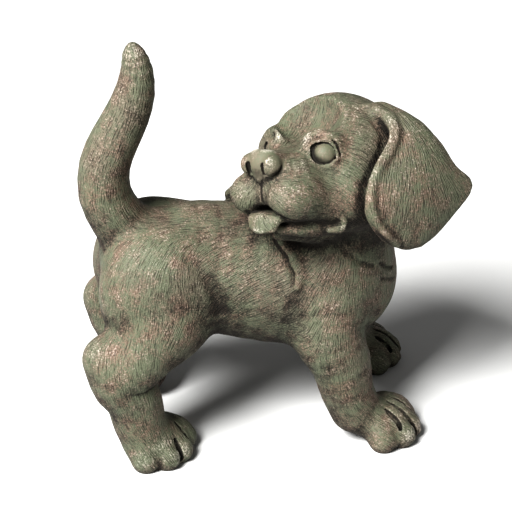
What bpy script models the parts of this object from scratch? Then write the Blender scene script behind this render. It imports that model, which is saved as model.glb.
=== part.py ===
"""A puppy cast in iron for the garden: it stands on splayed legs with its tail up and looks back over its shoulder.

The figure is one casting, so it is one solid. It is modelled as a founder's sculptor would: masses of clay are
pressed together, each with its own fillet, then creases are drawn and hollows are cut. Every mass is a distance
field, their blend is one field, and the skin of the casting is where that field is zero.

Axes: +X is the way the body faces, +Y its left side, +Z up. The soles stand on Z = 0.
"""

import itertools

import bmesh
import bpy
import numpy as np
from mathutils import Vector
from mathutils.bvhtree import BVHTree

# The driving dimension, in metres: from the soles to the tip of the tail.
HEIGHT = 0.360

# The pose and the carving below are written in 360ths of the height, which are millimetres at the real size.
# The box that holds the whole figure, in the same shares.
LOW, HIGH = (-165, -115, -8), (190, 125, 368)

# How finely the skin is read from the field, and how many triangles the casting keeps.
SKIN_STEP = 3.0
TRIANGLES = 9000
# A mass reaches this much further than its own surface when it is blended with the others.
MARGIN = 16.0
FAR = 1000.0

IRON_COLOUR = (0.16, 0.15, 0.115, 1.0)
IRON_ROUGHNESS = 0.72
IRON_METALLIC = 0.25


def blend(a, b, fillet):
    """Two distances joined with a fillet of about this size where they meet."""
    near = np.maximum(fillet - np.abs(a - b), 0.0) / fillet
    return np.minimum(a, b) - near * near * fillet / 4


def carve(a, b, fillet):
    """Distance a with b cut away, and the edge of the cut rounded."""
    return -blend(-a, b, fillet)


def smooth_path(points, each=4):
    """A Catmull-Rom curve through rows of numbers, with this many steps between two of them."""
    rows = np.array(points, float)
    rows = np.vstack([2 * rows[0] - rows[1], rows, 2 * rows[-1] - rows[-2]])
    t = np.linspace(0, 1, each, endpoint=False)[:, None]
    path = []
    for before, a, b, after in zip(rows, rows[1:], rows[2:], rows[3:]):
        path.append(
            a
            + 0.5 * t * (b - before)
            + t**2 * (before - 2.5 * a + 2 * b - 0.5 * after)
            + t**3 * (1.5 * (a - b) + 0.5 * (after - before))
        )
    return np.vstack(path + [rows[-2:-1]])


def turn(about, degrees):
    """The rotation matrix that turns a mass about the axis "x", "y" or "z"."""
    c, s = np.cos(np.radians(degrees)), np.sin(np.radians(degrees))
    first, second = {"x": (1, 2), "y": (2, 0), "z": (0, 1)}[about]
    matrix = np.eye(3)
    matrix[first, first] = matrix[second, second] = c
    matrix[first, second], matrix[second, first] = -s, s
    return matrix


class Mass:
    """A lump of clay: its distance field, the ball that holds it, and the fillet where it joins the rest."""

    def __init__(self, distance, centre, reach, fillet, cut=False):
        self.distance = distance
        self.centre = np.array(centre, float)
        self.reach = reach
        self.fillet = fillet
        self.cut = cut


def ball(centre, radii, fillet=10.0, turned=None, cut=False):
    """An ellipsoid, which may be turned."""
    centre = np.array(centre, float)
    radii = np.array(radii, float) * np.ones(3)
    turned = np.eye(3) if turned is None else turned

    def distance(points):
        local = (points - centre) @ turned
        scaled = np.linalg.norm(local / radii, axis=1)
        slope = np.linalg.norm(local / radii**2, axis=1) + 1e-9
        return scaled * (scaled - 1) / slope

    return Mass(distance, centre, radii.max(), fillet, cut)


def limb(rows, fillet=10.0, each=4, cut=False):
    """A round limb along a smooth path. A row is a point and the limb's radius there."""
    path = smooth_path(rows, each)
    centre = path[:, :3].mean(axis=0)
    reach = (np.linalg.norm(path[:, :3] - centre, axis=1) + path[:, 3]).max()

    def distance(points):
        nearest = np.full(len(points), FAR)
        for start, end in zip(path, path[1:]):
            along = end[:3] - start[:3]
            share = np.clip((points - start[:3]) @ along / (along @ along), 0, 1)
            radius = start[3] + share * (end[3] - start[3])
            gap = np.linalg.norm(points - start[:3] - share[:, None] * along, axis=1)
            nearest = np.minimum(nearest, gap - radius)
        return nearest

    return Mass(distance, centre, reach, fillet, cut)


def flap(rows, thickness, fillet=6.0, each=4):
    """A leaf of clay, such as an ear: rows of points from its root to its tip, each row from front to back."""
    rows = np.array(rows, float)
    down = smooth_path(rows.reshape(len(rows), -1), each).reshape(-1, rows.shape[1], 3)
    net = np.array([smooth_path(row, each) for row in down])
    tall, wide = net.shape[:2]
    corner = np.arange(tall * wide).reshape(tall, wide)
    quads = np.stack([corner[:-1, :-1], corner[1:, :-1], corner[1:, 1:], corner[:-1, 1:]], axis=-1)
    leaf = BVHTree.FromPolygons([Vector(p) for p in net.reshape(-1, 3)], quads.reshape(-1, 4).tolist())
    centre = net.reshape(-1, 3).mean(axis=0)
    reach = np.linalg.norm(net.reshape(-1, 3) - centre, axis=1).max() + thickness

    def distance(points):
        gaps = [leaf.find_nearest(Vector(point))[3] for point in points]
        return np.array(gaps, float) - thickness / 2

    return Mass(distance, centre, reach, fillet)


def field(points, masses):
    """The blend of the masses, in the order in which they are put on or cut."""
    value = np.full(len(points), FAR)
    for mass in masses:
        offset = points - mass.centre
        near = np.flatnonzero((offset**2).sum(axis=1) < (mass.reach + MARGIN + mass.fillet) ** 2)
        if len(near):
            join = carve if mass.cut else blend
            value[near] = join(value[near], mass.distance(points[near]), mass.fillet)
    return value


def both_sides(make, *sides):
    """The same mass on the left and on the right of the head. make takes the side, 1 or -1."""
    return [make(side) for side in (sides or (1, -1))]


def trunk():
    """The barrel of the body, from the croup down to the lowered chest."""
    return [
        limb(
            [
                (-90, 0, 162, 42),
                (-60, 0, 159, 52),
                (-20, 0, 149.5, 57),
                (28, 0, 140, 60),
                (62, 0, 138, 54),
                (74, 0, 138, 44),
            ]
        ),
        ball((58, 0, 130), (51, 50, 50), 20),
    ]


def tail():
    """The tail, which rises from the croup in a long curve and ends in a blunt point."""
    return [
        limb(
            [
                (-86, 0, 164, 27),
                (-102, 0, 184, 25),
                (-116, 0, 206, 23),
                (-126, 0, 230, 21.5),
                (-125, 0, 256, 20.5),
                (-116, 0, 278, 19.5),
                (-105.5, 0, 298, 18),
                (-98.5, 0, 317, 16),
                (-96, 0, 335, 13),
                (-97.5, 0, 348, 9.5),
                (-98.5, 0, 354.5, 5.5),
            ],
            16,
        )
    ]


def hind_leg(side, forward, aside):
    """A hind leg from the haunch to the hock. Forward and aside move the lower leg from its place under the hip."""
    y = 50 * side
    return [
        ball((-91, 30 * side, 152), (46, 34, 54), 16, turn("y", 14)),
        ball((-84, 34 * side, 124), (36, 28, 33), 18),
        limb(
            [
                (-90, 0.8 * y, 120, 30),
                (-112 + forward * 0.5, y, 100, 27),
                (-126 + forward, y + aside * 0.5, 84, 25),
                (-115 + forward, y + aside, 62, 23.5),
                (-111 + forward, y + aside, 40, 22.5),
                (-106 + forward, y + aside, 24, 22),
            ],
            14,
        ),
        ball((-137 + forward, y + aside * 0.5, 105), (18, 16, 18), 14),
    ]


def fore_leg(rows, side):
    """A fore leg from the shoulder to the wrist, along the given rows."""
    return [
        ball((50, 30 * side, 156), (38, 31, 50), 16, turn("y", -12)),
        limb(rows, 12),
    ]


def paw(heel, heading, size, spread):
    """A paw of four toes that fan out from the heel. Heading is the way it points, in degrees from +X."""
    heading = np.radians(heading)
    along = np.array([np.cos(heading), np.sin(heading), 0])
    across = np.array([-np.sin(heading), np.cos(heading), 0])
    heel = np.array(heel, float)
    masses = [ball(heel + along * 14 * size + (0, 0, 15), (27 * size, 27 * size, 20 * size), 12, turn("z", np.degrees(heading)))]
    for place in (-1.5, -0.5, 0.5, 1.5):
        tip = along * (39 - 7.5 * abs(place) ** 1.5) * size + across * place * spread * size
        root = along * 12 * size + across * place * spread * 0.6 * size
        rows = [
            (*(heel + root + (0, 0, 22 * size)), 11 * size),
            (*(heel + 0.6 * tip + 0.4 * root + (0, 0, 17 * size)), 13 * size),
            (*(heel + tip + (0, 0, 10 * size)), 12 * size),
        ]
        masses.append(limb(rows, 3.5))
    return masses


HEAD_CENTRE = np.array([62.0, -15.0, 250.0])
# The head's own axes in the casting: where the muzzle points, the head's left, and the crown.
HEAD_FORWARD = np.array([-0.769, -0.505, 0.387])
HEAD_LEFT = np.array([0.614, -0.754, 0.240])


def head_axes():
    """The rotation from the head's own axes to the casting's, made square."""
    forward = HEAD_FORWARD / np.linalg.norm(HEAD_FORWARD)
    left = HEAD_LEFT - forward * (HEAD_LEFT @ forward)
    left /= np.linalg.norm(left)
    return np.stack([forward, left, np.cross(forward, left)], axis=1)


def skull():
    return [
        ball((-2, 0, 0), (58, 57, 57)),
        ball((-30, 0, -22), (40, 44, 40), 20),
        *both_sides(lambda s: ball((22, 32 * s, -28), (27, 22, 26), 16)),
        *both_sides(lambda s: ball((49, 19 * s, 15), (14, 14, 11), 14)),
    ]


def muzzle():
    return [
        limb([(30, 0, -16, 27), (56, 0, -14, 23), (76, 0, -13, 18)], 10),
        ball((62, 0, -24), (26, 33, 18), 10),
        *both_sides(lambda s: ball((68, 17 * s, -31), (23, 18, 18), 5, turn("z", 10 * s))),
        ball((86, 0, -7), (13, 17.5, 12.5), 4),
        limb([(96, 0, -16, 2), (88, 0, -26, 2), (84, 0, -37, 2), (78, 0, -46, 2.5)], 3, cut=True),
    ]


def jaw():
    return [
        limb([(64, 0, -56, 9), (46, 0, -51, 15), (22, 0, -44, 23), (0, 0, -38, 28)], 3),
        *both_sides(lambda s: limb([(42, 32 * s, -46, 3), (30, 35 * s, -49, 4), (22, 36 * s, -43, 3)], 6)),
    ]


def tongue():
    return [
        flap(
            [
                [(46, 12, -43), (48, 0, -45), (46, -12, -43)],
                [(70, 12.5, -44), (72, 0, -47), (70, -12.5, -44)],
                [(77, 12, -50), (80, -1, -52), (77, -13, -50)],
                [(75, 7, -58), (78, -2, -60), (75, -9, -58)],
            ],
            6,
            2,
        )
    ]


def eyes():
    return [
        mass
        for side in (1, -1)
        for mass in (
            ball((54, 31 * side, 4.5), (9, 10, 10), 3, cut=True),
            ball((47, 27.5 * side, 4), 9.5, 1),
        )
    ]


LEFT_EAR = [
    [(6, 34, 44), (-4, 38, 47), (-12, 42, 45), (-20, 46, 40)],
    [(-2, 57, 32), (-12, 62, 34), (-22, 66, 32), (-32, 71, 24)],
    [(8, 64, 10), (-10, 73, 11), (-30, 79, 10), (-47, 82, 3)],
    [(27, 63, -16), (0, 76, -14), (-30, 83, -12), (-62, 88, -9)],
    [(28, 62, -33), (2, 74, -34), (-24, 81, -34), (-48, 84, -30)],
    [(18, 62, -46), (0, 68, -52), (-20, 74, -54), (-36, 77, -48)],
    [(4, 62, -55), (-6, 65, -58), (-17, 67, -60), (-28, 71, -57)],
]
RIGHT_EAR = [
    [(0, -34, 44), (-8, -38, 47), (-16, -42, 45), (-22, -46, 40)],
    [(-2, -58, 34), (-12, -62, 36), (-24, -64, 32), (-36, -64, 24)],
    [(-4, -72, 12), (-16, -78, 14), (-30, -78, 12), (-46, -74, 4)],
    [(2, -80, -10), (-10, -88, -8), (-28, -88, -10), (-50, -82, -16)],
    [(16, -88, -26), (2, -97, -26), (-16, -97, -28), (-36, -91, -32)],
    [(19, -97, -35), (8, -101, -38), (-8, -100, -40), (-22, -93, -42)],
]


def ears():
    return [
        limb([(-12, 48, 36, 9), (-6, 57, 18, 9), (4, 59, -4, 9), (12, 56, -24, 9), (6, 54, -42, 8)], 5),
        *both_sides(lambda s: limb([(-22, 56 * s, 26, 13), (-32, 64 * s, 2, 15), (-24, 62 * s, -24, 13)], 8)),
        flap(LEFT_EAR, 9),
        flap(RIGHT_EAR, 9),
    ]


def neck():
    return [
        limb([(56, 0, 150, 52), (66, -2, 182, 48), (66, -8, 214, 46), (62, -14, 240, 44)], 16),
    ]


def puppy(points):
    """The distance from each point to the skin of the puppy."""
    body = [
        *trunk(),
        *tail(),
        *neck(),
        *hind_leg(-1, 0, 0),
        *hind_leg(1, 9, 0),
        *fore_leg(
            [(50, -36, 130, 34), (50, -46, 108, 30), (62, -50, 80, 26), (68, -51, 52, 23), (76, -51, 30, 22)], -1
        ),
        *fore_leg(
            [(50, 36, 130, 34), (58, 50, 104, 29), (74, 57, 76, 25), (86, 60, 50, 22), (94, 60, 28, 21)], 1
        ),
    ]
    paws = [
        *paw((-105, -34, 0), -52, 0.92, 19),
        *paw((-122, 40, 0), 62, 0.88, 15),
        *paw((89, -42, 0), -36, 0.96, 16),
        *paw((102, 70, 0), -14, 0.9, 17),
    ]
    axes = head_axes()
    local = (points - HEAD_CENTRE) @ axes
    head = [*skull(), *muzzle(), *jaw(), *tongue(), *eyes(), *ears()]
    value = blend(field(points, body), field(points, paws), 9)
    return blend(value, field(local, head), 6)


def read_skin(distance, low, high, step):
    """The skin of a field as points and triangles. Each small cube is read as six tetrahedra, so the skin is closed."""
    axes = [np.arange(a, b + step, step) for a, b in zip(low, high)]
    grid = np.stack(np.meshgrid(*axes, indexing="ij"), axis=-1).reshape(-1, 3)
    value = distance(grid)
    value[value == 0] = 1e-6
    strides = np.array([len(axes[1]) * len(axes[2]), len(axes[2]), 1])
    firsts = [np.arange(len(axis) - 1) * stride for axis, stride in zip(axes, strides)]
    cells = (firsts[0][:, None, None] + firsts[1][:, None] + firsts[2]).reshape(-1)
    corners = [sum(some) for count in range(4) for some in itertools.combinations(strides, count)]
    inside = np.sum([value[cells + corner] < 0 for corner in corners], axis=0)
    cells = cells[(inside > 0) & (inside < 8)]
    cuts = []
    for order in itertools.permutations(strides):
        four = cells[:, None] + np.concatenate([[0], np.cumsum(order)])
        inside = value[four] < 0
        four = np.take_along_axis(four, np.argsort(~inside, axis=1, kind="stable"), axis=1)
        inside = inside.sum(axis=1)
        for count, triangle in (
            (1, (0, 1, 0, 2, 0, 3)),
            (3, (0, 3, 1, 3, 2, 3)),
            (2, (0, 2, 0, 3, 1, 3)),
            (2, (0, 2, 1, 3, 1, 2)),
        ):
            cuts.append(four[inside == count][:, triangle].reshape(-1, 3, 2))
    ends = np.sort(np.concatenate(cuts), axis=2).reshape(-1, 2)
    ends, faces = np.unique(ends, axis=0, return_inverse=True)
    near, far = value[ends[:, 0]], value[ends[:, 1]]
    share = (near / (near - far))[:, None]
    return grid[ends[:, 0]] * (1 - share) + grid[ends[:, 1]] * share, faces.reshape(-1, 3)


def settle(points, distance, steps=2):
    """Moves the points of a rough skin onto the true one."""
    reach = 0.3
    for _ in range(steps):
        slope = np.stack(
            [distance(points + reach * axis) - distance(points - reach * axis) for axis in np.eye(3)], axis=1
        )
        slope /= np.linalg.norm(slope, axis=1)[:, None] + 1e-9
        away = np.clip(distance(points), -SKIN_STEP / 2, SKIN_STEP / 2)
        points = points - away[:, None] * slope
    return points


def thin_out(mesh, triangles):
    """The same skin with only this many triangles, fewer where it is flat."""
    thing = bpy.data.objects.new("skin", mesh)
    bpy.context.scene.collection.objects.link(thing)
    fewer = thing.modifiers.new("fewer", "DECIMATE")
    fewer.ratio = triangles / sum(len(face.vertices) - 2 for face in mesh.polygons)
    graph = bpy.context.evaluated_depsgraph_get()
    thinned = bpy.data.meshes.new_from_object(thing.evaluated_get(graph))
    bpy.data.objects.remove(thing)
    return thinned


def stand(body):
    """Cuts the soles flat on the ground, and closes them."""
    everything = body.verts[:] + body.edges[:] + body.faces[:]
    cut = bmesh.ops.bisect_plane(
        body, geom=everything, dist=1e-5, plane_co=(0, 0, 0), plane_no=(0, 0, 1), clear_inner=True
    )
    rims = [edge for edge in cut["geom_cut"] if isinstance(edge, bmesh.types.BMEdge)]
    bmesh.ops.holes_fill(body, edges=rims, sides=0)
    for corner in body.verts:
        if abs(corner.co.z) < 1e-3:
            corner.co.z = 0.0
    bmesh.ops.dissolve_degenerate(body, dist=1e-3, edges=body.edges[:])
    bmesh.ops.triangulate(body, faces=body.faces[:])
    bmesh.ops.recalc_face_normals(body, faces=body.faces[:])


def place(body):
    """Scales the casting to its height, and puts the origin under the middle of it."""
    spots = np.array([corner.co for corner in body.verts])
    low, high = spots.min(axis=0), spots.max(axis=0)
    middle = Vector(((low[0] + high[0]) / 2, (low[1] + high[1]) / 2, low[2]))
    for corner in body.verts:
        corner.co = (corner.co - middle) * (HEIGHT / (high[2] - low[2]))


def iron():
    material = bpy.data.materials.new("iron")
    material.use_nodes = True
    shader = material.node_tree.nodes["Principled BSDF"]
    shader.inputs["Base Color"].default_value = IRON_COLOUR
    shader.inputs["Roughness"].default_value = IRON_ROUGHNESS
    shader.inputs["Metallic"].default_value = IRON_METALLIC
    return material


def build():
    for thing in list(bpy.data.objects):
        bpy.data.objects.remove(thing)
    points, faces = read_skin(puppy, LOW, HIGH, SKIN_STEP)
    skin = bpy.data.meshes.new("skin")
    skin.from_pydata(settle(points, puppy).tolist(), [], faces.tolist())
    body = bmesh.new()
    body.from_mesh(thin_out(skin, TRIANGLES))
    stand(body)
    place(body)
    mesh = bpy.data.meshes.new("puppy")
    body.to_mesh(mesh)
    body.free()
    mesh.shade_smooth()
    mesh.materials.append(iron())
    bpy.context.scene.collection.objects.link(bpy.data.objects.new("puppy", mesh))


if __name__ == "__main__":
    build()
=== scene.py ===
"""A puppy cast in iron for the garden: the fur as its modeller combed it, and the patina the weather gave it."""

import itertools

import bmesh
import bpy
import numpy as np
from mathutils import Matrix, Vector
from mathutils.bvhtree import BVHTree


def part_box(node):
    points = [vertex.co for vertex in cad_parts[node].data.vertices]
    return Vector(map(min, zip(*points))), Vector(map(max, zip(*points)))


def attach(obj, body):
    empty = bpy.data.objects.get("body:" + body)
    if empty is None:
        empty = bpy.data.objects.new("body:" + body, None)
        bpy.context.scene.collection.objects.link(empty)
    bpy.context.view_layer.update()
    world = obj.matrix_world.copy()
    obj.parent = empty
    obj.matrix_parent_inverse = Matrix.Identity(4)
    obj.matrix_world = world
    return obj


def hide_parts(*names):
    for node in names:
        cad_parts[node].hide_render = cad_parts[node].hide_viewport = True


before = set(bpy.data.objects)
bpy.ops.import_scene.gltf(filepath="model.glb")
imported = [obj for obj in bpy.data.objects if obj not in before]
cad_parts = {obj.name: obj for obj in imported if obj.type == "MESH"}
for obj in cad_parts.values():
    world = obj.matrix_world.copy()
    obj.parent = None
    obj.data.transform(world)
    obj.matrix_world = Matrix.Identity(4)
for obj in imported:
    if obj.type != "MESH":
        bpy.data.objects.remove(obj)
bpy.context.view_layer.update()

# The puppy: one iron casting, about 6 mm thick, that stands on its four soles.
# It is cast from a clay model, so it is made as clay is here: masses are pressed together, creases are drawn with
# a tool, the coat is combed into locks, and the finished skin takes a patina of green-grey, rust and worn edges.

# The clay is measured in shares of the casting's height. MIDDLE is the spot of its ground that comes to lie at the
# casting's origin, and SHARE is one share in metres.
SHARES = 360.1
MIDDLE = np.array([5.58, 0.95, 0.0])
low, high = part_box("puppy")
SHARE = (high[2] - low[2]) / SHARES

# A mass is felt no further from its own ball than its fillet and MARGIN. FAR stands for no clay at all.
MARGIN = 10.0
FAR = 1000.0


def blend(a, b, fillet):
    """Two distances joined with a fillet of about this size where they meet."""
    near = np.maximum(fillet - np.abs(a - b), 0.0) / fillet
    return np.minimum(a, b) - near * near * fillet / 4


def carve(a, b, fillet):
    """The first distance with the second cut out of it, and the cut's edge rounded to about this size."""
    return -blend(-a, b, fillet)


def smooth_path(points, each):
    """A smooth curve through rows of numbers, with this many steps between two of them."""
    rows = np.array(points, float)
    rows = np.vstack([2 * rows[0] - rows[1], rows, 2 * rows[-1] - rows[-2]])
    t = np.linspace(0, 1, each, endpoint=False)[:, None]
    path = []
    for before, a, b, after in zip(rows, rows[1:], rows[2:], rows[3:]):
        path.append(
            a
            + 0.5 * t * (b - before)
            + t**2 * (before - 2.5 * a + 2 * b - 0.5 * after)
            + t**3 * (1.5 * (a - b) + 0.5 * (after - before))
        )
    return np.vstack(path + [rows[-2:-1]])


def turn(about, degrees):
    """The rotation about one of the axes."""
    c, s = np.cos(np.radians(degrees)), np.sin(np.radians(degrees))
    first, second = {"x": (1, 2), "y": (2, 0), "z": (0, 1)}[about]
    matrix = np.eye(3)
    matrix[first, first] = matrix[second, second] = c
    matrix[first, second], matrix[second, first] = -s, s
    return matrix


class Mass:
    """A lump of clay, or a tool's cut: its distance field, the ball that holds it, and its fillet."""

    def __init__(self, distance, centre, reach, fillet, cut=False):
        self.distance = distance
        self.centre = np.array(centre, float)
        self.reach = reach
        self.fillet = fillet
        self.cut = cut


def ball(centre, radii, fillet=10.0, turned=None, cut=False):
    centre = np.array(centre, float)
    radii = np.array(radii, float) * np.ones(3)
    turned = np.eye(3) if turned is None else turned

    def distance(points):
        local = (points - centre) @ turned
        scaled = np.linalg.norm(local / radii, axis=1)
        slope = np.linalg.norm(local / radii**2, axis=1) + 1e-9
        return scaled * (scaled - 1) / slope

    return Mass(distance, centre, radii.max(), fillet, cut)


def limb(rows, fillet=10.0, each=3, cut=False):
    """A round limb along a smooth path. A row is a point and the limb's radius there."""
    path = smooth_path(rows, each)
    centre = path[:, :3].mean(axis=0)
    reach = (np.linalg.norm(path[:, :3] - centre, axis=1) + path[:, 3]).max()

    def distance(points):
        nearest = np.full(len(points), FAR)
        for start, end in zip(path, path[1:]):
            along = end[:3] - start[:3]
            share = np.clip((points - start[:3]) @ along / (along @ along), 0, 1)
            radius = start[3] + share * (end[3] - start[3])
            gap = np.linalg.norm(points - start[:3] - share[:, None] * along, axis=1)
            nearest = np.minimum(nearest, gap - radius)
        return nearest

    return Mass(distance, centre, reach, fillet, cut)


def flap(rows, thickness, fillet=6.0, each=4):
    """A leaf of clay, such as an ear: rows of points from its root to its tip, each row from front to back."""
    rows = np.array(rows, float)
    down = smooth_path(rows.reshape(len(rows), -1), each).reshape(-1, rows.shape[1], 3)
    net = np.array([smooth_path(row, each) for row in down])
    tall, wide = net.shape[:2]
    corner = np.arange(tall * wide).reshape(tall, wide)
    quads = np.stack([corner[:-1, :-1], corner[1:, :-1], corner[1:, 1:], corner[:-1, 1:]], axis=-1)
    leaf = BVHTree.FromPolygons([Vector(p) for p in net.reshape(-1, 3)], quads.reshape(-1, 4).tolist())
    centre = net.reshape(-1, 3).mean(axis=0)
    reach = np.linalg.norm(net.reshape(-1, 3) - centre, axis=1).max() + thickness

    def distance(points):
        gaps = [leaf.find_nearest(Vector(point))[3] for point in points]
        return np.array(gaps, float) - thickness / 2

    return Mass(distance, centre, reach, fillet)


def crease(rows, fillet=2.0):
    """A line drawn into the clay with a round tool. A row is a point on the skin and the tool's radius there."""
    return limb(rows, fillet, cut=True)


def field(points, masses):
    """The distance from each point to the masses, pressed together or cut in the order in which they are given."""
    value = np.full(len(points), FAR)
    for mass in masses:
        offset = points - mass.centre
        near = np.flatnonzero((offset**2).sum(axis=1) < (mass.reach + MARGIN + mass.fillet) ** 2)
        if len(near):
            join = carve if mass.cut else blend
            value[near] = join(value[near], mass.distance(points[near]), mass.fillet)
    return value


def both_sides(make):
    """The same mass on the left and on the right. make takes the side, 1 or -1."""
    return [make(side) for side in (1, -1)]


def trunk():
    """The barrel of the body, from the croup down to the lowered chest."""
    return [
        limb(
            [
                (-90, 0, 162, 42),
                (-60, 0, 159, 52),
                (-20, 0, 149.5, 57),
                (28, 0, 140, 60),
                (62, 0, 138, 54),
                (74, 0, 138, 44),
            ]
        ),
        ball((58, 0, 130), (51, 50, 50), 20),
    ]


def tail():
    """The tail, which rises from the croup in a long curve and ends in a blunt point."""
    return [
        limb(
            [
                (-86, 0, 164, 27),
                (-102, 0, 184, 25),
                (-116, 0, 206, 23),
                (-126, 0, 230, 21.5),
                (-125, 0, 256, 20.5),
                (-116, 0, 278, 19.5),
                (-105.5, 0, 298, 18),
                (-98.5, 0, 317, 16),
                (-96, 0, 335, 13),
                (-97.5, 0, 348, 9.5),
                (-98.5, 0, 354.5, 5.5),
            ],
            fillet=16,
            each=2,
        )
    ]


def hind_leg(side, forward):
    """A hind leg from the haunch to the hock. Forward moves the lower leg from its place under the hip."""
    y = 50 * side
    return [
        ball((-91, 30 * side, 152), (46, 34, 54), 16, turn("y", 14)),
        ball((-84, 34 * side, 124), (36, 28, 33), 18),
        limb(
            [
                (-90, 0.8 * y, 120, 30),
                (-112 + forward * 0.5, y, 100, 27),
                (-126 + forward, y, 84, 25),
                (-115 + forward, y, 62, 23.5),
                (-111 + forward, y, 40, 22.5),
                (-106 + forward, y, 24, 22),
            ],
            14,
        ),
        ball((-137 + forward, y, 105), (18, 16, 18), 14),
    ]


def fore_leg(rows, side):
    """A fore leg from the shoulder to the wrist, along the given rows."""
    return [
        ball((50, 30 * side, 156), (38, 31, 50), 16, turn("y", -12)),
        limb(rows, 12),
    ]


# No paw stands higher than this.
PAW_HIGHEST = 45
# Each line between two toes: how far along it the tool is set down, and the tool's radius there.
TOE_LINE = ((0.2, 1.0), (0.45, 2.0), (0.7, 2.4), (0.87, 2.4))


def paw(heel, heading, size, spread):
    """A paw of four toes that fan out from the heel, cut apart with thin lines. Heading is in degrees from +X."""
    heading = np.radians(heading)
    along = np.array([np.cos(heading), np.sin(heading), 0])
    across = np.array([-np.sin(heading), np.cos(heading), 0])
    heel = np.array(heel, float)

    def toe(place, low, heights, radii):
        """A row down a toe, or down the line between two. Place counts the toes from the middle of the paw."""
        tip = along * (39 - 7.5 * abs(place) ** 1.5) + across * place * spread
        root = along * 12 + across * place * spread * 0.6
        spots = [root, 0.6 * tip + 0.4 * root, tip, tip + along * low]
        return [(*(heel + size * (spot + (0, 0, up))), size * r) for spot, up, r in zip(spots, heights, radii)]

    toes = (-1.5, -0.5, 0.5, 1.5)
    turned = turn("z", np.degrees(heading))
    masses = [ball(heel + along * 14 * size + (0, 0, 15), np.array([27, 27, 20]) * size, 12, turned)]
    for place in toes:
        masses.append(limb(toe(place, 0, (22, 16, 9.5), (12, 14.5, 13.5)), 4))
    # A short claw points down from each toe.
    for place in toes:
        masses.append(limb(toe(place, 11, (0, 0, 17, 8), (0, 0, 1, 3.2))[2:], 2))

    def top(x, y):
        """How high the paw's clay stands over a spot of the ground."""
        heights = np.arange(0, PAW_HIGHEST, 0.25)
        column = np.stack([np.full_like(heights, x), np.full_like(heights, y), heights], axis=1)
        return heights[field(column, masses) < 0].max(initial=0)

    lines = []
    for place in (-1, 0, 1):
        root, _, _, front = (np.array(row[:3]) for row in toe(place, 9, (0, 0, 0, 0), (1, 1, 1, 1)))
        drawn = []
        for part, radius in TOE_LINE:
            x, y, _ = root + (front - root) * part
            drawn.append((x, y, top(x, y) - 0.4 * radius, radius))
        lines.append(crease([*drawn, (front[0], front[1], 7 * size, 2.4)], 0.6))
    return masses + lines


# The head has its own centre and axes: where the muzzle points, the head's left, and the crown.
HEAD_CENTRE = np.array([62.0, -15.0, 250.0])
HEAD_FORWARD = np.array([-0.769, -0.505, 0.387])
HEAD_LEFT = np.array([0.614, -0.754, 0.240])


def head_axes():
    """The rotation from the head's own axes to the casting's, made square."""
    forward = HEAD_FORWARD / np.linalg.norm(HEAD_FORWARD)
    left = HEAD_LEFT - forward * (HEAD_LEFT @ forward)
    left /= np.linalg.norm(left)
    return np.stack([forward, left, np.cross(forward, left)], axis=1)


def skull():
    """The skull with its cheeks and the rise above each eye, and a fill at the temple of the far side."""
    return [
        ball((-2, 0, 0), (58, 57, 57)),
        ball((-30, 0, -22), (40, 44, 40), 20),
        *both_sides(lambda s: ball((20, 31 * s, -26), (28, 22, 26), 18)),
        *both_sides(lambda s: ball((46, 16 * s, 16), (14, 13, 12), 18)),
        ball((38, -35, 6), (12, 12, 14), 10),
    ]


def muzzle():
    """The bridge of the nose, the two pads of the upper lip, the valleys behind them and the groove between them."""
    return [
        limb([(30, 0, -11, 19), (56, 0, -7, 14), (80, 0, -7, 12)], 10),
        *both_sides(lambda s: limb([(34, 14 * s, -16, 20), (56, 17 * s, -14, 17), (74, 11 * s, -13, 13)], 9)),
        ball((58, 0, -24), (24, 32, 19), 10),
        *both_sides(lambda s: ball((46, 23 * s, -30), (22, 17, 18), 12)),
        *both_sides(lambda s: ball((66.5, (18.5 - s) * s, -31), (25, 21, 18.5), 6, turn("z", 10 * s))),
        *both_sides(
            lambda s: limb(
                [
                    (63, 31 * s, 2, 2),
                    (59, 38 * s, -7, 4),
                    (55, 46 * s, -16, 5.5),
                    (51, 50 * s, -26, 6),
                    (48, 51 * s, -36, 5),
                ],
                11,
                cut=True,
            )
        ),
        limb([(79, 0, -20, 8), (77, 0, -29, 9), (74, 0, -37, 7)], 5),
        crease([(90, 0, -19, 0.8), (87, 0, -25, 1), (86, 0, -31, 1), (83, 0, -38, 1.3)], 1),
    ]


def nose():
    """The leather of the nose: a flat top, two wings, the nostrils that curl under them, and the Y below."""
    return [
        ball((85.5, 0, -5.5), (12, 14.5, 12.5), 4),
        ball((85.5, 0, -14), (7.5, 7.5, 9), 3),
        *both_sides(lambda s: ball((89.5, 11 * s, -8), (8.3, 7.6, 8.6), 2.5)),
        ball((82, 0, 44), (60, 60, 40), 3, cut=True),
        *both_sides(lambda s: crease([(99.5, 7 * s, -6, 0.8), (96, 7.5 * s, -9, 2.2), (92.5, 7.5 * s, -14.5, 2)], 0.6)),
        *both_sides(
            lambda s: crease(
                [(93, 8 * s, -15.5, 1.8), (90, 13 * s, -16.5, 1.4), (87, 18 * s, -12, 1.6), (84, 19.5 * s, -4, 1)], 1
            )
        ),
        *both_sides(lambda s: crease([(94, 7 * s, -15, 0.9), (91, 4.4 * s, -20, 1.1), (88, 0.5 * s, -25, 1.2)], 0.8)),
    ]


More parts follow.
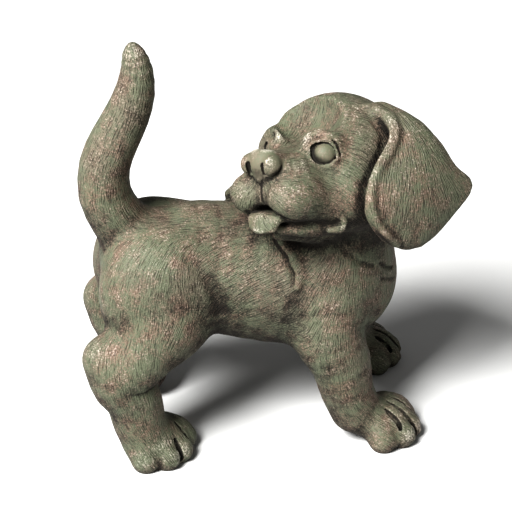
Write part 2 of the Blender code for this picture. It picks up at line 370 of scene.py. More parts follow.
def mouth():
    """The open mouth: the gap above the tongue, the lips' line back to the corners, and the lower lip."""
    return [
        limb([(60, 0, -57, 9), (46, 0, -51, 15), (22, 0, -44, 23), (0, 0, -38, 28)], 3),
        *both_sides(
            lambda s: limb([(68, 9 * s, -56, 4.5), (60, 14 * s, -55, 6), (46, 20 * s, -53, 8), (30, 27 * s, -49, 9)], 5)
        ),
        ball((79, 1, -46), (15, 12, 7), 2, cut=True),
        crease([(85, 0, -38.5, 1.6), (86, 7, -42, 2.4), (86, 16, -46, 2.6)], 1.5),
        crease([(85, 0, -38.5, 1.6), (84, -6, -43, 2), (80, -13, -47.5, 1.6)], 1.5),
        *both_sides(
            lambda s: crease(
                [
                    (82, 17 * s, -47, 2.4),
                    (72, 23 * s, -49.5, 2),
                    (58, 29 * s, -50.5, 1.7),
                    (46, 36 * s, -49, 1.8),
                    (37, 41 * s, -46.5, 2),
                ],
                1.5,
            )
        ),
        *both_sides(
            lambda s: limb(
                [(35, 42 * s, -44, 1.6), (32, 41 * s, -48, 3), (33.5, 38.5 * s, -52.5, 3.2), (41, 34 * s, -54, 2)], 4
            )
        ),
        flap(
            [
                [(46, 12, -46), (48, 0, -46), (46, -12, -46)],
                [(68, 14, -47), (70, 1, -46), (68, -12, -47)],
                [(79, 14, -49), (83, 1, -48.5), (79, -13, -49)],
                [(82, 11, -56.5), (85.5, 1, -58.5), (82, -9, -56.5)],
            ],
            thickness=6.5,
            fillet=1,
        ),
    ]


# Each eye: its side, how far it lies inward of its place, and how wide its opening and its brow are made. The far eye
# is pressed in, so that it doesn't break the head's outline.
EYES = ((1, 0, 1, 1), (-1, 5.5, 0.6, 0.3))
# The upper lid's edge from the inner corner to the outer: along the eye and above its middle.
LID = ((-9, 6), (-4, 8.6), (1, 9.2), (6, 7), (10, 1.5), (11.5, -1.5))


def eyes():
    """Each eye: a smooth ball with no pupil in an almond opening, the upper lid, and the creases round it."""
    masses = []
    for s, inward, opening, brow in EYES:
        out = np.array([0.77, 0.64 * s, 0.0])
        along = np.array([-0.63, 0.76 * s, -0.14])
        up = np.cross(out, along) * s
        middle = np.array([52.6, (30.4 - inward) * s, 5.2])
        axes = np.stack([out, along, up], axis=1)

        def beside(across, above, before):
            """A spot on the face by its place from the eye's middle."""
            return middle + opening * (along * across + up * above) + out * before

        ridge = [
            (54, 13 * s, 12, 2.5 * brow),
            (54.5, 17 * s, 18, 3 * brow),
            (50.5, 24 * s, 21, 3 * brow),
            (43, 32 * s, 17, 2),
        ]
        masses += [
            ball(middle - out * 8, (7 + 1.5 * opening, 12 * opening**0.5, 11 * opening**0.5), 9, axes),
            limb(ridge, 10),
            limb([(*beside(x, z, -0.006 * x * x), 0.9) for x, z in LID], 3),
            ball(beside(0, 0.2, 3), (9, 10.4 * opening, 9 * opening), 0.4, axes, cut=True),
            crease([(*beside(7, -0.5, 0), 1.8), (*beside(11.5, -1.5, -1.5), 0.7)], 0.4),
            crease([(*beside(-7, 6, 0.5), 1), (*beside(-9, 2, 0.5), 2), (*beside(-7.5, -3, 0), 1)], 0.8),
            crease(
                [(*beside(4, 12, -0.4), 0.5), (*beside(9.5, 8, -1.4), 1.1), (*beside(13.5, 1, -2.8), 0.6)],
                0.8,
            ),
            ball(middle + along * (2 * brow - 1) - out * 5.8, 9.8, 0.2),
        ]
    return masses


# The ears as leaves, in the head's axes: rows from the root down to the tip, each row from front to back. The left one
# is the near one in the casting, because the head is turned back. EAR_RIM is its rolled front edge, with radii.
LEFT_EAR = [
    [(6, 34, 44), (-4, 38, 47), (-12, 42, 45), (-20, 46, 40)],
    [(-2, 57, 32), (-12, 62, 34), (-22, 66, 32), (-32, 71, 24)],
    [(8, 64, 10), (-10, 73, 11), (-30, 79, 10), (-47, 82, 3)],
    [(27, 63, -16), (0, 76, -14), (-30, 83, -12), (-62, 88, -9)],
    [(28, 62, -33), (2, 74, -34), (-24, 81, -34), (-48, 84, -30)],
    [(18, 62, -46), (0, 68, -52), (-20, 74, -54), (-36, 77, -48)],
    [(4, 62, -55), (-6, 65, -58), (-17, 67, -60), (-28, 71, -57)],
]
RIGHT_EAR = [
    [(0, -34, 44), (-8, -38, 47), (-16, -42, 45), (-22, -46, 40)],
    [(-2, -58, 34), (-12, -62, 36), (-24, -64, 32), (-36, -64, 24)],
    [(-4, -72, 12), (-16, -78, 14), (-30, -78, 12), (-46, -74, 4)],
    [(2, -80, -10), (-10, -88, -8), (-28, -88, -10), (-50, -82, -16)],
    [(16, -88, -26), (2, -97, -26), (-16, -97, -28), (-36, -91, -32)],
    [(19, -97, -35), (8, -101, -38), (-8, -100, -40), (-22, -93, -42)],
]
EAR_RIM = [
    (4, 41, 42, 6),
    (0.5, 48, 39, 6),
    (1.5, 55, 34, 6),
    (2.5, 59, 27.5, 6),
    (6, 62, 20.5, 5.5),
    (11.5, 63, 12.5, 5),
    (18, 63.5, 5, 4.5),
    (23.5, 63.5, -2.5, 4),
    (27.5, 63, -10, 3.5),
    (30.5, 64, -17.5, 3.3),
    (31, 65, -27, 3),
    (28, 65.5, -36, 3),
    (20, 66.5, -46.5, 3),
    (10, 68.5, -54, 3),
    (-3, 68, -60, 2.8),
]


def ears():
    """The ears on the rolls that bear them. Two grooves run down beside the near ear's rolled edge."""
    return [
        limb([(-16, 46, 36, 9), (-14, 54, 18, 9), (-6, 57, -4, 9), (2, 55, -24, 9), (-2, 53, -42, 8)], 5),
        *both_sides(lambda s: limb([(-22, 56 * s, 26, 13), (-32, 64 * s, 2, 15), (-24, 62 * s, -24, 13)], 8)),
        flap(LEFT_EAR, thickness=9),
        limb(EAR_RIM, 3),
        limb(
            [
                (0, 62, 38, 1.5),
                (0.5, 67.5, 32, 3),
                (2, 70, 26, 3.6),
                (6, 72, 18, 3.6),
                (12, 72.5, 9, 3),
                (20, 72, 0, 2.4),
                (27, 70.5, -9, 1),
            ],
            3,
            cut=True,
        ),
        limb(
            [
                (13, 45, 35, 1),
                (9, 52, 28, 2.6),
                (8.5, 55.5, 20.5, 3.4),
                (13, 58, 9, 3.4),
                (21, 58, -3.5, 3.2),
                (28, 57.5, -16, 3),
                (29, 57.5, -30, 2.6),
            ],
            4,
            cut=True,
        ),
        flap(RIGHT_EAR, thickness=9),
    ]


def neck():
    """The neck, which turns with the head."""
    return [limb([(56, 0, 150, 52), (66, -2, 182, 48), (66, -8, 214, 46), (62, -14, 240, 44)], 16)]


BODY = [
    *trunk(),
    *tail(),
    *neck(),
    *hind_leg(-1, forward=0),
    *hind_leg(1, forward=9),
    *fore_leg([(50, -36, 130, 34), (50, -46, 108, 30), (62, -50, 80, 26), (68, -51, 52, 23), (76, -51, 30, 22)], -1),
    *fore_leg([(50, 36, 130, 34), (58, 50, 104, 29), (74, 57, 76, 25), (86, 60, 50, 22), (94, 60, 28, 21)], 1),
]
PAWS = [
    *paw((-105, -34, 0), -52, 0.92, 16),
    *paw((-122, 40, 0), 62, 0.88, 13),
    *paw((89, -42, 0), -36, 0.96, 14),
    *paw((102, 70, 0), -14, 0.9, 15),
]
HEAD = [*skull(), *muzzle(), *nose(), *mouth(), *eyes(), *ears()]
# Folds of the skin where the limbs and the neck bend. The shoulder's is a crack with a thin roll before it.
FOLDS = [
    crease(
        [(8, -34, 193, 0.6), (15, -47, 184, 2), (16, -51.5, 178, 1.2), (19.5, -55.5, 172, 2), (18, -59, 162, 0.6)], 2.5
    ),
    limb([(13, -37, 192, 0.5), (22, -51, 180, 1.4), (24, -56.5, 171, 1.4), (22, -60, 161, 0.5)], 6),
    crease([(44, -57, 204, 0.5), (60, -57.5, 190, 1.4), (76, -54.5, 176, 1.2), (88, -49, 168, 0.5)], 4),
    crease([(96, -42, 166, 0.5), (104, -36, 158, 1.2), (110, -28, 153, 0.5)], 3),
    crease([(98, -44, 152, 0.5), (107, -36, 146, 1.2), (113, -27, 141, 0.5)], 3),
    crease([(-64, -53, 190, 0.5), (-52, -56, 178, 2), (-43, -57.5, 160, 3), (-39, -57, 142, 4)], 10),
]
AXES = head_axes()
# The fillets where the paws and the head join the body.
WRIST_FILLET = 9
NECK_FILLET = 6


def puppy(points):
    """The distance from each point to the skin of the puppy."""
    value = blend(field(points, BODY), field(points, PAWS), WRIST_FILLET)
    local = (points - HEAD_CENTRE) @ AXES
    value = blend(value, field(local, HEAD), NECK_FILLET)
    for fold in FOLDS:
        near = np.flatnonzero(((points - fold.centre) ** 2).sum(axis=1) < (fold.reach + MARGIN) ** 2)
        join = carve if fold.cut else blend
        value[near] = join(value[near], fold.distance(points[near]), fold.fillet)
    return value


def slope_of(points, value):
    """The direction in which the field grows: out of the clay."""
    reach = 0.2
    slope = np.stack([puppy(points + reach * axis) - value for axis in np.eye(3)], axis=1)
    return slope / (np.linalg.norm(slope, axis=1)[:, None] + 1e-9)


# The skin is read at SKIN_GRAIN from a box that holds all the clay, and thinned to SKIN_TRIANGLES. The box is first cut
# into cells that can be halved HALVINGS times. A cell may hold skin if its middle lies within CELL_REACH cells of it.
SKIN_GRAIN = 1.0
SKIN_TRIANGLES = 195000
CLAY_LOW, CLAY_HIGH = (-162, -104, -4), (174, 106, 364)
HALVINGS = 3
CELL_REACH = 1.15


def read_skin(low, high, halvings):
    """The skin of the clay as points and four-sided faces: one point in each small cell that the skin crosses.

    Cells that the skin can't reach are dropped before the others are cut in eight, so only the skin is read finely.
    """
    eighths = np.array(list(itertools.product((0, 1), repeat=3)))
    size = SKIN_GRAIN * 2**halvings
    count = np.ceil((np.array(high) - low) / size).astype(int)
    cells = np.stack(np.meshgrid(*[np.arange(n) for n in count], indexing="ij"), axis=-1).reshape(-1, 3)
    for halving in range(halvings + 1):
        cells = cells[np.abs(puppy(low + (cells + 0.5) * size)) < CELL_REACH * size]
        if halving < halvings:
            cells = (cells[:, None] * 2 + eighths).reshape(-1, 3)
            size /= 2
    # One number stands for each corner: ten bits for each axis.
    stride = np.array([1 << 20, 1 << 10, 1])
    corners = np.unique((cells[:, None] + eighths) @ stride)
    spots = np.stack([corners >> 20, corners >> 10 & 1023, corners & 1023], axis=1)
    value = puppy(low + spots * size)
    crossings, rounds, flips = [], [], []
    for axis in range(3):
        found = np.minimum(np.searchsorted(corners, corners + stride[axis]), len(corners) - 1)
        pair = np.flatnonzero((corners[found] == corners + stride[axis]) & ((value < 0) != (value[found] < 0)))
        a, b = value[pair], value[found[pair]]
        crossings.append(spots[pair] + (a / (a - b))[:, None] * np.eye(3)[axis])
        p, q = stride[np.arange(3) != axis]
        rounds.append(corners[pair][:, None] - [0, p, p + q, q])
        flips.append((a < 0) != (axis == 1))
    crossings, rounds, flips = np.vstack(crossings), np.vstack(rounds), np.concatenate(flips)
    faces = np.unique(rounds, return_inverse=True)[1].reshape(-1, 4)
    total = [np.bincount(faces.ravel(), np.repeat(crossings[:, axis], 4)) for axis in range(3)]
    points = low + np.stack(total, axis=1) / np.bincount(faces.ravel())[:, None] * size
    faces[flips] = faces[flips][:, ::-1]
    return points, faces


# The locks of the coat. Each row is a spot on the skin and the way its hair is combed, given for the left side and
# mirrored to the right. The first table is in the body's axes, the second in the head's.
BODY_COMBED = [
    (40, 0, 200, -1, 0, -0.1), (0, 0, 208, -1, 0, 0), (-50, 0, 211, -1, 0, 0), (-85, 0, 205, -1, 0, 0.2),
    (40, 50, 178, -1, 0.1, -0.5), (0, 57, 165, -1, 0, -0.3), (-40, 52, 172, -1, 0, -0.35),
    (-10, 30, 200, -1, 0.1, -0.15), (-42, 55, 140, -0.8, 0, -0.7), (0, 56, 135, -1, 0, -0.3), (20, 50, 108, -1, 0, 0),
    (-20, 45, 98, -1, 0, 0.1), (-95, 42, 198, -0.6, 0.4, -0.7), (-128, 38, 180, -0.1, 0, -1),
    (-100, 60, 168, -0.2, 0.1, -1), (-70, 60, 162, 0.25, 0.1, -1), (-72, 66, 135, -0.5, 0, -0.8),
    (-110, 66, 140, -0.1, 0, -1), (-132, 50, 130, -0.2, 0, -1), (-144, 50, 105, 0.1, 0, -1),
    (-120, 74, 92, 0.2, 0, -1), (-98, 60, 92, -0.2, 0, -1), (-128, 70, 62, 0.3, 0, -1), (-104, 60, 58, 0.2, 0.1, -1),
    (-104, 62, 34, 0.5, 0.5, -0.8), (-88, 64, 22, 0.6, 0.6, -0.6), (-80, 30, 160, -0.4, -0.2, -1),
    (-100, 20, 110, 0, -0.2, -1), (48, 60, 172, -0.5, 0.1, -0.9), (76, 56, 158, -0.2, 0, -1),
    (38, 66, 145, -0.4, 0, -0.9), (60, 70, 120, -0.1, 0, -1), (98, 38, 150, 0.1, 0, -1), (112, 0, 150, 0, 0, -1),
    (108, 0, 115, -0.4, 0, -1), (80, 0, 84, -1, 0, -0.3), (62, 74, 95, 0.15, 0, -1), (84, 62, 78, 0.2, 0, -1),
    (72, 74, 60, 0.3, 0, -1), (88, 68, 44, 0.7, 0.1, -0.7), (108, 66, 28, 0.8, 0.2, -0.5), (48, 40, 84, 0.2, 0, -1),
    (60, 46, 206, -0.1, 0.2, -1), (88, 30, 202, 0.2, 0.1, -1), (104, 0, 196, 0.2, 0, -1),
    (36, 40, 196, -0.6, 0.2, -0.7), (-100, 10, 188, -0.5, 0, 0.9), (-118, 8, 212, -0.35, 0, 0.95),
    (-128, 8, 238, 0, 0, 1), (-120, 8, 266, 0.4, 0, 0.9), (-106, 6, 296, 0.4, 0, 0.9), (-98, 5, 326, 0.1, 0, 1),
    (-98, 3, 350, 0, 0, 1),
]
HEAD_COMBED = [
    (88, 0, 5, -1, 0, 0.1), (70, 0, 10, -1, 0, 0.2), (56, 0, 14, -0.8, 0, 0.7), (46, 0, 34, -0.7, 0, 0.8),
    (20, 0, 54, -1, 0, 0.3), (-10, 0, 57, -1, 0, -0.1), (-42, 0, 40, -0.7, 0, -0.7), (-58, 0, 10, -0.2, 0, -1),
    (60, 10, 12, -0.7, 0.3, 0.8), (52, 20, 26, -0.8, 0.3, 0.7), (40, 32, 28, -0.9, 0.5, 0.2),
    (20, 40, 40, -0.9, 0.5, 0.1), (30, 46, 18, -0.9, 0.4, -0.2), (42, 40, 8, -0.9, 0.5, -0.2),
    (34, 50, -6, -0.9, 0.3, -0.5), (30, 52, -24, -0.9, 0.2, -0.6), (54, 30, -12, -0.8, 0.6, -0.1),
    (46, 38, -22, -0.9, 0.4, -0.3), (34, 44, -40, -1, 0.2, -0.4), (82, 12, -4, -0.9, 0.4, 0.1),
    (70, 26, -12, -0.9, 0.4, 0), (88, 14, -26, -0.5, 0.7, -0.4), (80, 27, -30, -0.7, 0.7, -0.2),
    (64, 34, -32, -1, 0.3, -0.1), (86, 6, -36, -0.2, 0.5, -0.9), (70, 22, -46, -0.7, 0.6, -0.3),
    (56, 18, -62, -1, 0.3, 0), (36, 26, -60, -1, 0.2, 0.1), (14, 30, -54, -1, 0.1, -0.3), (0, 10, -62, -1, 0, -0.5),
    (6, 46, 42, -0.2, 0.8, -0.4), (-4, 60, 32, -0.1, 0.5, -0.9), (-20, 68, 32, -0.5, 0.6, -0.6),
    (-35, 78, 14, -0.7, 0.4, -0.6), (-52, 87, -2, -0.9, 0.3, -0.4), (4, 70, 14, 0.2, 0.4, -0.9),
    (-8, 78, 2, 0, 0.3, -1), (18, 70, -2, 0.5, 0.1, -0.9), (27, 67, -20, 0.2, 0, -1), (2, 79, -22, 0.1, 0.1, -1),
    (-25, 86, -14, -0.4, 0.2, -0.9), (14, 72, -40, 0, 0, -1), (-10, 78, -42, -0.2, 0, -1),
    (-40, 86, -28, -0.6, 0, -0.8), (-20, 76, -55, -0.4, -0.1, -0.9), (-4, 70, -58, 0, 0, -1),
]


def combed():
    """Every row of the two tables, mirrored, in the body's axes: the spots, and the ways as unit vectors."""
    spots, ways = [], []
    for rows, centre, axes in ((BODY_COMBED, np.zeros(3), np.eye(3)), (HEAD_COMBED, HEAD_CENTRE, AXES)):
        rows = np.array(rows, float)
        for side in (1, -1):
            mirrored = rows * (1, side, 1, 1, side, 1)
            spots.append(centre + mirrored[:, :3] @ axes.T)
            ways.append(mirrored[:, 3:] @ axes.T)
    ways = np.vstack(ways)
    return np.vstack(spots), ways / np.linalg.norm(ways, axis=1)[:, None]


# A row's pull on the hair falls off beyond the root of COMB_SPREAD. Points are combed in batches, to save memory.
COMB_SPREAD = 150
BATCH = 20000


def comb(points, normals):
    """The way the hair lies at each point, along the skin."""
    spots, ways = combed()
    lie = np.zeros_like(points)
    for start in range(0, len(points), BATCH):
        some = points[start : start + BATCH]
        gap = (some**2).sum(axis=1)[:, None] + (spots**2).sum(axis=1) - 2 * some @ spots.T
        weight = 1 / (np.maximum(gap, 0) + COMB_SPREAD) ** 2
        lie[start : start + BATCH] = weight @ ways
    lie -= normals * (lie * normals).sum(axis=1)[:, None]
    return lie / (np.linalg.norm(lie, axis=1)[:, None] + 1e-9)


# Large odd numbers that scatter neighbouring cells and seeds, and then stir the bits of what comes out.
CELL_SCATTER = (73856093, 19349663, 83492791)
SEED_SCATTER = 974711
STIRS = ((13, 1274126177), (16, 668265263))


def grain(points, seed):
    """Smooth noise between -1 and 1, one bump to a unit."""
    cell = np.floor(points)
    part = points - cell
    part = part**3 * (part * (part * 6 - 15) + 10)
    total = 0
    for corner in itertools.product((0, 1), repeat=3):
        key = ((cell + corner).astype(np.int64) * CELL_SCATTER).sum(axis=1) + seed * SEED_SCATTER
        for shift, factor in STIRS:
            key = (key ^ (key >> shift)) * factor & 0xFFFFFFFF
        weight = np.prod(np.where(corner, part, 1 - part), axis=1)
        total = total + weight * (key / 0x7FFFFFFF - 1)
    return total


# How many times the noise is read for each width along a lock, and how much its mean is raised again.
LOCK_TAPS = 1.6
LOCK_GAIN = 2.2


def locks(points, lie, width, length, seed):
    """Noise that is smeared along the hair: locks of about this width and length, from -1 to 1."""
    taps = int(length / width * LOCK_TAPS) + 1
    total = 0
    for along in np.linspace(-length / 2, length / 2, taps):
        total = total + grain((points + lie * along) / width, seed)
    return np.clip(total / taps * LOCK_GAIN, -1, 1)


def near_to(points, spots, edge):
    """1 inside the given balls, 0 outside, with a soft edge."""
    inside = np.zeros(len(points))
    for x, y, z, radius in spots:
        gap = np.linalg.norm(points - (x, y, z), axis=1) - radius
        inside = np.maximum(inside, np.clip(0.5 - gap / edge, 0, 1))
    return inside


# Balls round what bears no hair, in the head's axes: the leather of the nose, the eyeballs and the tongue.
BARE = [
    *[(88, 11 * s, -8, 9) for s in (1, -1)],
    (87, 0, -6, 14),
    *[(47, 27.5 * s, 4, 11.4) for s in (1, -1)],
    *[(76, y, -52, 9) for y in (-8, 0, 8)],
    (62, 0, -47, 12),
]
# Hands and weather have rubbed these places pale: in the head's axes the rolled edge of the ear, the brows, the nose,
# the lips' corner and the tongue's edge, and in the body's the tip of the tail, the haunch, the hock and the toes.
HEAD_RUBBED = [
    *[(x + 2, y - 2, z, radius * 0.6) for x, y, z, radius in EAR_RIM[1:9]],
    *[(58, 16 * s, 15, 4) for s in (1, -1)],
    (90, 6, 4, 4), (90, -6, 4, 5), (96, 14, -4, 2), (33, 42, -50, 3), (85, 1, -62, 5),
]
BODY_RUBBED = [
    (-98, -4, 352, 3), (-122, -64, 190, 4), (-93, -74, 26, 7), (-76, -72, 12, 7), (-108, -68, 14, 7),
    (120, -78, 14, 6), (134, -66, 12, 5), (-139, -52, 108, 6),
]
# Places made darker: soot and rain on the back, and painted shade on the flank, the throat, below the head and under
# the tail.
SOOT_AND_SHADE = [
    (-62, -8, 205, 12), (-35, -12, 208, 20), (-5, -16, 208, 24), (24, -24, 205, 18), (20, -58, 142, -8),
    (-38, -56, 142, 0), (60, -50, 205, 4), (84, -44, 190, 0), (-148, 0, 200, 0), (20, -73, 212, 0),
    (38, -76, 210, 0), (60, -70, 214, 0),
]
# How wide the soft edge of each kind of place is.
BARE_EDGE = 2
HEAD_RUBBED_EDGE = 6
BODY_RUBBED_EDGE = 16
SOOT_AND_SHADE_EDGE = 60
# The broad and the fine locks of the coat: how wide, how long and how high they are.
LOCKS = ((4.5, 16, 0.045), (2.2, 8, 0.1))


def dress(points, normals):
    """Raises the locks of the coat out of the skin."""
    lie = comb(points, normals)
    bare = near_to((points - HEAD_CENTRE) @ AXES, BARE, BARE_EDGE)
    height = 0
    for seed, (width, length, rise) in enumerate(LOCKS, 1):
        height = height + rise * locks(points, lie, width, length, seed)
    return points + normals * (height * (1 - bare))[:, None]


def normals_of(points, faces):
    """The normal at each point of a mesh of triangles."""
    a, b, c = points[faces].transpose(1, 0, 2)
    flat = np.cross(b - a, c - a)
    normal = np.stack(
        [sum(np.bincount(faces[:, k], flat[:, axis], len(points)) for k in range(3)) for axis in range(3)], axis=1
    )
    return normal / (np.linalg.norm(normal, axis=1)[:, None] + 1e-12)


def smoothed(values, edges, count, steps):
    """Values spread over the net: each point takes the mean of its neighbours, this many times."""
    ends = np.concatenate([edges, edges[:, ::-1]])
    degree = np.bincount(ends[:, 0], minlength=count)[:, None]
    for _ in range(steps):
        sums = np.stack([np.bincount(ends[:, 0], values[ends[:, 1], k], count) for k in range(values.shape[1])], axis=1)
        values = 0.5 * values + 0.5 * sums / degree
    return values


def read(mesh):
    """The places of a mesh's points."""
    points = np.zeros(len(mesh.vertices) * 3)
    mesh.vertices.foreach_get("co", points)
    return points.reshape(-1, 3)


# The furthest that a point of the skin is moved when it is set on the field's zero.
LONGEST_STEP = 0.4


def model_puppy():
    """The clay, from its field to the combed and thinned skin."""
    points, faces = read_skin(CLAY_LOW, CLAY_HIGH, HALVINGS)
    value = puppy(points)
    slope = slope_of(points, value)
    points -= np.clip(value, -LONGEST_STEP, LONGEST_STEP)[:, None] * slope
    points = dress(points, slope)
    mesh = bpy.data.meshes.new("skin")
    mesh.from_pydata(points.tolist(), [], faces.tolist())
    thing = bpy.data.objects.new("skin", mesh)
    bpy.context.scene.collection.objects.link(thing)
    fewer = thing.modifiers.new("fewer", "DECIMATE")
    fewer.ratio = SKIN_TRIANGLES / (2 * len(faces))
    graph = bpy.context.evaluated_depsgraph_get()
    mesh = bpy.data.meshes.new_from_object(thing.evaluated_get(graph))
    bpy.data.objects.remove(thing)
    return mesh


def stand(mesh):
    """Cuts the soles flat where they meet the ground."""
    body = bmesh.new()
    body.from_mesh(mesh)
    everything = body.verts[:] + body.edges[:] + body.faces[:]
    cut = bmesh.ops.bisect_plane(
        body, geom=everything, dist=1e-5, plane_co=(0, 0, 0), plane_no=(0, 0, 1), clear_inner=True
    )
    rims = [edge for edge in cut["geom_cut"] if isinstance(edge, bmesh.types.BMEdge)]
    bmesh.ops.holes_fill(body, edges=rims, sides=0)
    bmesh.ops.triangulate(body, faces=body.faces[:])
    bmesh.ops.recalc_face_normals(body, faces=body.faces[:])
    body.to_mesh(mesh)
    body.free()


# How many times the skin is evened out to find its hollows, and how far out it is asked how sheltered it is.
HOLLOW_STEPS = 4
SHELTER_REACHES = (4.0, 10.0, 24.0)

mesh = model_puppy()
stand(mesh)
points = read(mesh)
triangles = np.array([face.vertices for face in mesh.polygons])
normals = normals_of(points, triangles)
edges = np.unique(np.sort(np.concatenate([triangles[:, [0, 1]], triangles[:, [1, 2]], triangles[:, [2, 0]]])), axis=0)
evened = smoothed(points, edges, len(points), HOLLOW_STEPS)
local = (points - HEAD_CENTRE) @ AXES
values = {
    # How far a point lies below the mean of what is round it.
    "hollow": ((evened - points) * normals).sum(axis=1),
    "bare": near_to(local, BARE, BARE_EDGE),
    "rubbed": np.maximum(
        near_to(local, HEAD_RUBBED, HEAD_RUBBED_EDGE), near_to(points, BODY_RUBBED, BODY_RUBBED_EDGE)
    ),
    # Soot on the back, and painted shade on the flank, the throat, below the head and under the tail.
    "soot_and_shade": near_to(points, SOOT_AND_SHADE, SOOT_AND_SHADE_EDGE),
    # How much of the clay stands round a point: 0 in the open, 1 in a deep cleft. The patina paints shade with it.
    "sheltered": sum(np.clip(1 - puppy(points + normals * reach) / reach, 0, 1) for reach in SHELTER_REACHES)
    / len(SHELTER_REACHES),
}
lie = comb(points, normals)
mesh.vertices.foreach_set("co", ((points - MIDDLE) * SHARE).reshape(-1))
for name, value in values.items():
    mesh.attributes.new(name, "FLOAT", "POINT").data.foreach_set("value", value)
mesh.attributes.new("lie", "FLOAT_VECTOR", "POINT").data.foreach_set("vector", lie.reshape(-1))
mesh.shade_smooth()
mesh.name = "puppy_skin"


class Shade:
    """A value or a colour that changes over the surface. Arithmetic on values adds their Math nodes."""

    def __init__(self, tree, socket=None):
        self.tree = tree
        self.socket = socket

    def node(self, kind, settings, inputs, output=0):
        """Any node: its type, its settings, and the values or links of its sockets."""
        made = self.tree.nodes.new("ShaderNode" + kind)
        for name, value in settings.items():
            setattr(made, name, value)
        for key, value in inputs.items():
            if isinstance(value, Shade):
                self.tree.links.new(value.socket, made.inputs[key])
            else:
                made.inputs[key].default_value = value
        return Shade(self.tree, made.outputs[output])

    def maths(self, operation, *values):
        return self.node("Math", {"operation": operation}, dict(enumerate(values)))

    def __add__(self, other):
        return self.maths("ADD", self, other)

    def __sub__(self, other):
        return self.maths("SUBTRACT", self, other)

    def __rsub__(self, other):
        return self.maths("SUBTRACT", other, self)

    def __mul__(self, other):
        return self.maths("MULTIPLY", self, other)

    def __truediv__(self, other):
        return self.maths("DIVIDE", self, other)

    __radd__, __rmul__ = __add__, __mul__

    def between(self, low, high):
        """0 where the value is low, 1 where it is high, and a soft step from one to the other."""
        return self.node("MapRange", {"interpolation_type": "SMOOTHSTEP"}, {0: self, 1: low, 2: high, 3: 0.0, 4: 1.0})

    def mixed(self, first, second):
        """A colour from the first to the second as this value goes from 0 to 1."""
        return self.node("Mix", {"data_type": "RGBA"}, {0: self, 6: first, 7: second}, 2)


# The patina's colours: two greys of the open skin, the rust, dirt and painted shade, and the pale wear on edges.
MOSS_GREY = (0.112, 0.122, 0.080, 1)
STONE_GREY = (0.128, 0.116, 0.083, 1)
RUST_PINK = (0.190, 0.118, 0.088, 1)
DIRT_AND_SHADE_BROWN = (0.010, 0.008, 0.006, 1)
WORN_CREAM = (0.640, 0.600, 0.520, 1)
# How large the patina's clouds, stains, blotches and specks are, in metres.
CLOUD_SIZE, STAIN_SIZE, BLOTCH_SIZE, SPECK_SIZE = 0.045, 0.026, 0.012, 0.0014
# The engraved hairs: how wide and long they are and how deep they are cut, in metres. A hair is read HAIR_TAPS times.
HAIR_WIDTH, HAIR_LENGTH, HAIR_DEPTH = 0.0009, 0.005, 0.0005
HAIR_TAPS = 7
# Weathered iron gives back less light than a smooth surface does.
DULL_GLOSS = 0.35

patina = bpy.data.materials.new("patina")
patina.use_nodes = True
tree = patina.node_tree
iron = tree.nodes["Principled BSDF"]
paint = Shade(tree)
place = paint.node("TexCoord", {}, {}, "Object")
lie_of = paint.node("Attribute", {"attribute_name": "lie"}, {}, "Vector")
hollow, bare, sheltered, rubbed, soot_and_shade = (
    paint.node("Attribute", {"attribute_name": name}, {}, "Fac")
    for name in ("hollow", "bare", "sheltered", "rubbed", "soot_and_shade")
)


def noise(spot, size, detail):
    """Smooth noise round one half, with bumps of about this size."""
    return paint.node("TexNoise", {}, {"Vector": spot, "Scale": 1 / size, "Detail": detail})


def hairs(width, length, taps):
    """Noise smeared along the way the hair lies."""
    total = 0
    for tap in range(taps):
        along = (tap / (taps - 1) - 0.5) * length
        spot = paint.node("VectorMath", {"operation": "MULTIPLY_ADD"}, {0: lie_of, 1: (along,) * 3, 2: place})
        total = noise(spot, width, detail=0.0) + total
    return total / taps


facing = paint.node("NewGeometry", {}, {}, "Normal")
upward = paint.node("SeparateXYZ", {}, {0: facing}, "Z")
hair = hairs(HAIR_WIDTH, HAIR_LENGTH, HAIR_TAPS)
furred = 1 - bare
cloud = noise(place, CLOUD_SIZE, detail=3.0)
stain = noise(place, STAIN_SIZE, detail=4.0)
blotch = noise(place, BLOTCH_SIZE, detail=5.0)
speck = noise(place, SPECK_SIZE, detail=3.0)

# The two greys lie in clouds, and rust has come through them in blotches.
colour = (cloud * 0.5 + blotch * 0.3 + speck * 0.2).between(0.40, 0.60).mixed(MOSS_GREY, STONE_GREY)
rust = (blotch * 0.35 + stain * 0.3 + speck * 0.35).between(0.45, 0.66)
colour = (rust * (0.8 - bare * 0.6)).mixed(colour, RUST_PINK)

# What faces up and stands free is rubbed and washed pale, in specks and along the hairs; tops are also painted light.
# This mask also paints shade: faces that point down, enclosed places and the darkened places come out darker.
open_and_lit = (upward * 0.55 - sheltered * 0.85 - soot_and_shade * 0.6).between(-0.70, 0.50)
grit = ((speck - 0.5) * 1.4 + (hair - 0.5) * 0.3) * (1 - bare * 0.6) + (blotch - 0.5) * 0.5
worn = (grit + rubbed * 0.36 + open_and_lit * 0.10 - hollow * 0.6).between(0.18, 0.75)
colour = (worn * open_and_lit * 0.75).mixed(colour, WORN_CREAM)

# Dirt and painted shade darken the hollows, the cuts between the hairs, enclosed and darkened places, and undersides.
dirt_and_shade = (
    hollow * 1.2
    + (blotch - 0.5) * 1.2
    + (cloud - 0.5) * 0.6
    - (speck - 0.5) * 1.4 * (1 - bare * 0.8)
    - open_and_lit
).between(-0.95, 0.05)
colour = (dirt_and_shade * 0.95).mixed(colour, DIRT_AND_SHADE_BROWN)
cut = (1 - hair.between(0.38, 0.52)) * furred
colour = (cut * 0.6).mixed(colour, DIRT_AND_SHADE_BROWN)

tree.links.new(colour.socket, iron.inputs["Base Color"])
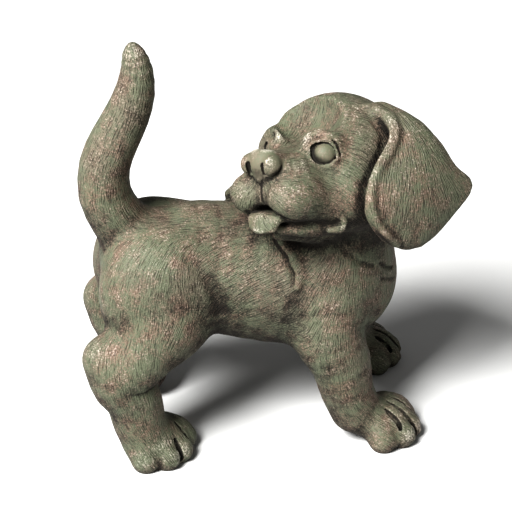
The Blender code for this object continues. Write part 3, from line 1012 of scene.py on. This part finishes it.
# Where dirt and painted shade lie the iron is duller, and the worn places are a little smoother.
rough = 0.62 + dirt_and_shade * 0.25 - worn * 0.08 + (speck - 0.5) * 0.3
tree.links.new(rough.socket, iron.inputs["Roughness"])
height = (hair - 0.5) * 6.0 * furred + (speck - 0.5) * 0.35
relief = paint.node("Bump", {}, {"Strength": 0.9, "Distance": HAIR_DEPTH, "Height": height})
tree.links.new(relief.socket, iron.inputs["Normal"])
iron.inputs["Specular IOR Level"].default_value = DULL_GLOSS

mesh.materials.append(patina)
puppy_cast = bpy.data.objects.new("puppy_cast", mesh)
bpy.context.scene.collection.objects.link(puppy_cast)
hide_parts("puppy")
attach(puppy_cast, "root")

# The floor of the studio: one wide flat sheet of pale matt paper. The puppy stands on it by its own weight, and the
# sheet reaches far past the camera's view on every side.

FLOOR_REACH = 6
PAPER_WHITE = (0.66, 0.66, 0.65, 1)
PAPER_ROUGHNESS = 0.9

sheet = bpy.data.meshes.new("floor")
rim = [(x * FLOOR_REACH, y * FLOOR_REACH, 0) for x, y in ((-1, -1), (1, -1), (1, 1), (-1, 1))]
sheet.from_pydata(rim, [], [(0, 1, 2, 3)])
floor = bpy.data.objects.new("floor", sheet)
bpy.context.scene.collection.objects.link(floor)
paper = bpy.data.materials.new("paper")
paper.use_nodes = True
paper_inputs = paper.node_tree.nodes["Principled BSDF"].inputs
paper_inputs["Base Color"].default_value = PAPER_WHITE
paper_inputs["Roughness"].default_value = PAPER_ROUGHNESS
sheet.materials.append(paper)

# The studio's light: a large soft box from the upper left of the camera, a weak one low on the right, and a pale room
# that lights the shade a little. The boxes point at the middle of the puppy.

LIT_SPOT = Vector((0, 0, 0.15))
ROOM_LIGHT = 0.15


def soft_box(name, spot, size, power):
    light = bpy.data.lights.new(name, "AREA")
    light.size, light.energy = size, power
    lamp = bpy.data.objects.new(name, light)
    lamp.location = spot
    lamp.rotation_euler = (LIT_SPOT - Vector(spot)).to_track_quat("-Z", "Y").to_euler()
    bpy.context.scene.collection.objects.link(lamp)


soft_box("key", spot=(-2.1, -1.75, 3.2), size=1.6, power=372)
soft_box("fill", spot=(1.3, -1.2, 0.7), size=1.0, power=1)
bpy.context.scene.view_settings.view_transform = "Standard"
bpy.context.scene.view_settings.look = "High Contrast"
room = bpy.data.worlds.new("room")
room.use_nodes = True
room_inputs = room.node_tree.nodes["Background"].inputs
room_inputs["Color"].default_value = (1, 1, 1, 1)
room_inputs["Strength"].default_value = ROOM_LIGHT
bpy.context.scene.world = room

# The camera looks down at the puppy's right side, from a little towards its tail. A long lens stands for the photo's
# own, and a small shift sets the frame on the puppy.

AZIMUTH, ELEVATION = np.radians(-10), np.radians(30)
AIM = np.array([0, -20, 165])
DISTANCE = 1.35
FOCAL_LENGTH, SENSOR_WIDTH = 113.9, 36
SHIFT_X, SHIFT_Y = -0.0117, 0.0117

back = Vector((np.sin(AZIMUTH) * np.cos(ELEVATION), -np.cos(AZIMUTH) * np.cos(ELEVATION), np.sin(ELEVATION)))
aim = Vector((AIM - MIDDLE) * SHARE)
lens = bpy.data.cameras.new("camera")
lens.lens, lens.sensor_width = FOCAL_LENGTH, SENSOR_WIDTH
lens.shift_x, lens.shift_y = SHIFT_X, SHIFT_Y
camera = bpy.data.objects.new("camera", lens)
camera.location = aim + back * DISTANCE
camera.rotation_euler = (-back).to_track_quat("-Z", "Y").to_euler()
bpy.context.scene.collection.objects.link(camera)
bpy.context.scene.camera = camera
